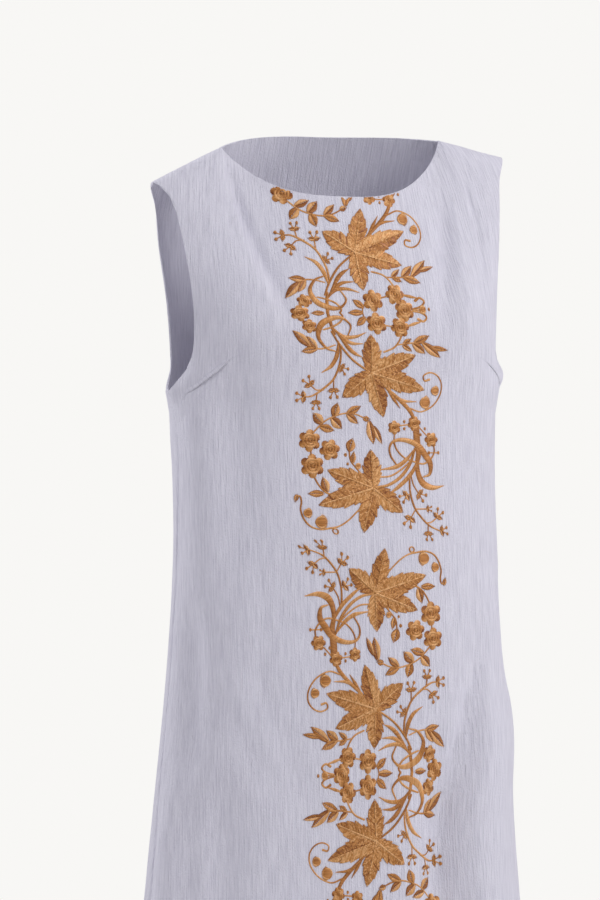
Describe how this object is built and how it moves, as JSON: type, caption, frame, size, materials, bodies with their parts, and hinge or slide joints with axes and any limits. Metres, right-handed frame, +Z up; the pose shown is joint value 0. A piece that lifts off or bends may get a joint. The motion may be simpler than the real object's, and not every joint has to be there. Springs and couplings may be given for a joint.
{
  "type": "embroidered dress",
  "caption": "Sleeveless A-line shift dress of crinkled cotton with a wide round neck and an embroidered band down its front, hollow as when worn.",
  "frame": {"origin": "midway between the two shoulder seams, on the plane of the shoulder and side seams, where the wearer's shoulders hold the dress", "axes": "+Z up along the dress, -Y out of its front, +X towards the right of someone who looks at its front"},
  "size_m": [0.4302, 0.2827, 0.9326],
  "materials": {
    "cloth": "matt white crinkled cotton crepe with upright slubs",
    "embroidery": "satin copper-gold embroidery thread"
  },
  "bodies": {
    "root": {"front": "cloth", "back": "cloth"}
  },
  "joints": []
}
